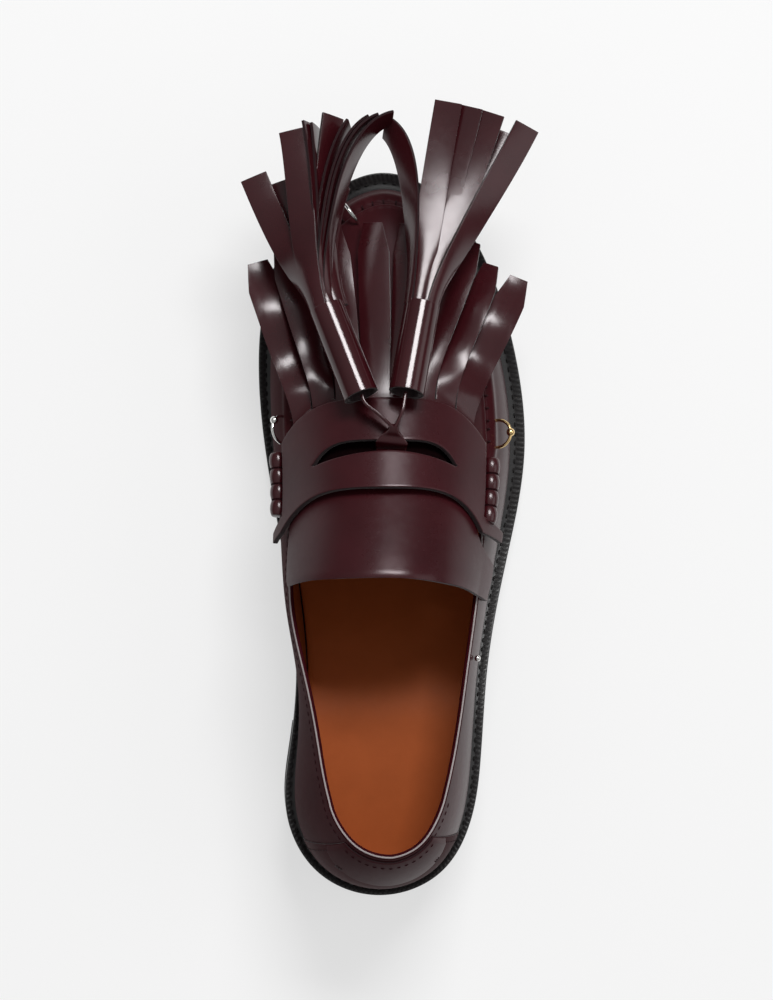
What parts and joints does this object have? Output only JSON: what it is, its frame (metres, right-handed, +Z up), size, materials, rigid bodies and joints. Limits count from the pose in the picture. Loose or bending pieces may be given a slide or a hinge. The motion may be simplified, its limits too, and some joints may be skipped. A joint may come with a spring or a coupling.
{
  "type": "tassel loafer",
  "caption": "Slip-on leather dress loafer for the right foot, with a saddle strap, kiltie fringe, rolled leather tassels, welted leather sole and stacked heel",
  "frame": {"origin": "on the floor under the middle of the heel, the centre of the heel's rest face", "axes": "+Y runs from the heel towards the toe, +X towards the outer side of the foot, +Z up"},
  "size_m": [0.114, 0.3057, 0.1001],
  "materials": {
    "heel_rubber": "matt black rubber",
    "sole_edge": "waxed black leather edge",
    "welt": "black leather with a wheeled top",
    "lining": "smooth tan leather",
    "upper_leather": "burgundy leather polished to a high gloss",
    "gold": "polished gold-coloured wire",
    "silver": "polished silver-coloured wire"
  },
  "bodies": {
    "shoe": {"top_lift": "heel_rubber", "heel_block": "sole_edge", "outsole": "sole_edge", "welt": "welt", "insole": "lining", "upper": "upper_leather", "heel_counter": "upper_leather", "tongue": "upper_leather", "kiltie": "upper_leather", "saddle_strap": "upper_leather", "beef_roll_lateral": "upper_leather", "beef_roll_medial": "upper_leather", "tassel_medial": "upper_leather", "tassel_lateral": "upper_leather", "tassel_tie": "upper_leather", "stud_collar": "silver"},
    "ring_lateral": {"ring_lateral": "gold"},
    "ring_medial": {"ring_medial": "silver"},
    "ring_toe": {"ring_toe": "silver"}
  },
  "joints": [
    {"name": "ring_lateral_turn", "type": "hinge", "parent": "shoe", "child": "ring_lateral", "pos_m": [0.0446, 0.1425, 0.04702], "axis": [0.4554, -0.1772, -0.8725], "range_deg": [-50, 50]},
    {"name": "ring_medial_turn", "type": "hinge", "parent": "shoe", "child": "ring_medial", "pos_m": [-0.03826, 0.144, 0.04581], "axis": [0.7262, 0.1604, 0.6685], "range_deg": [-12, 88]},
    {"name": "ring_toe_turn", "type": "hinge", "parent": "shoe", "child": "ring_toe", "pos_m": [-0.01189, 0.2275, 0.03969], "axis": [-0.809, -0.5878, 0], "range_deg": [-88, 12]}
  ]
}
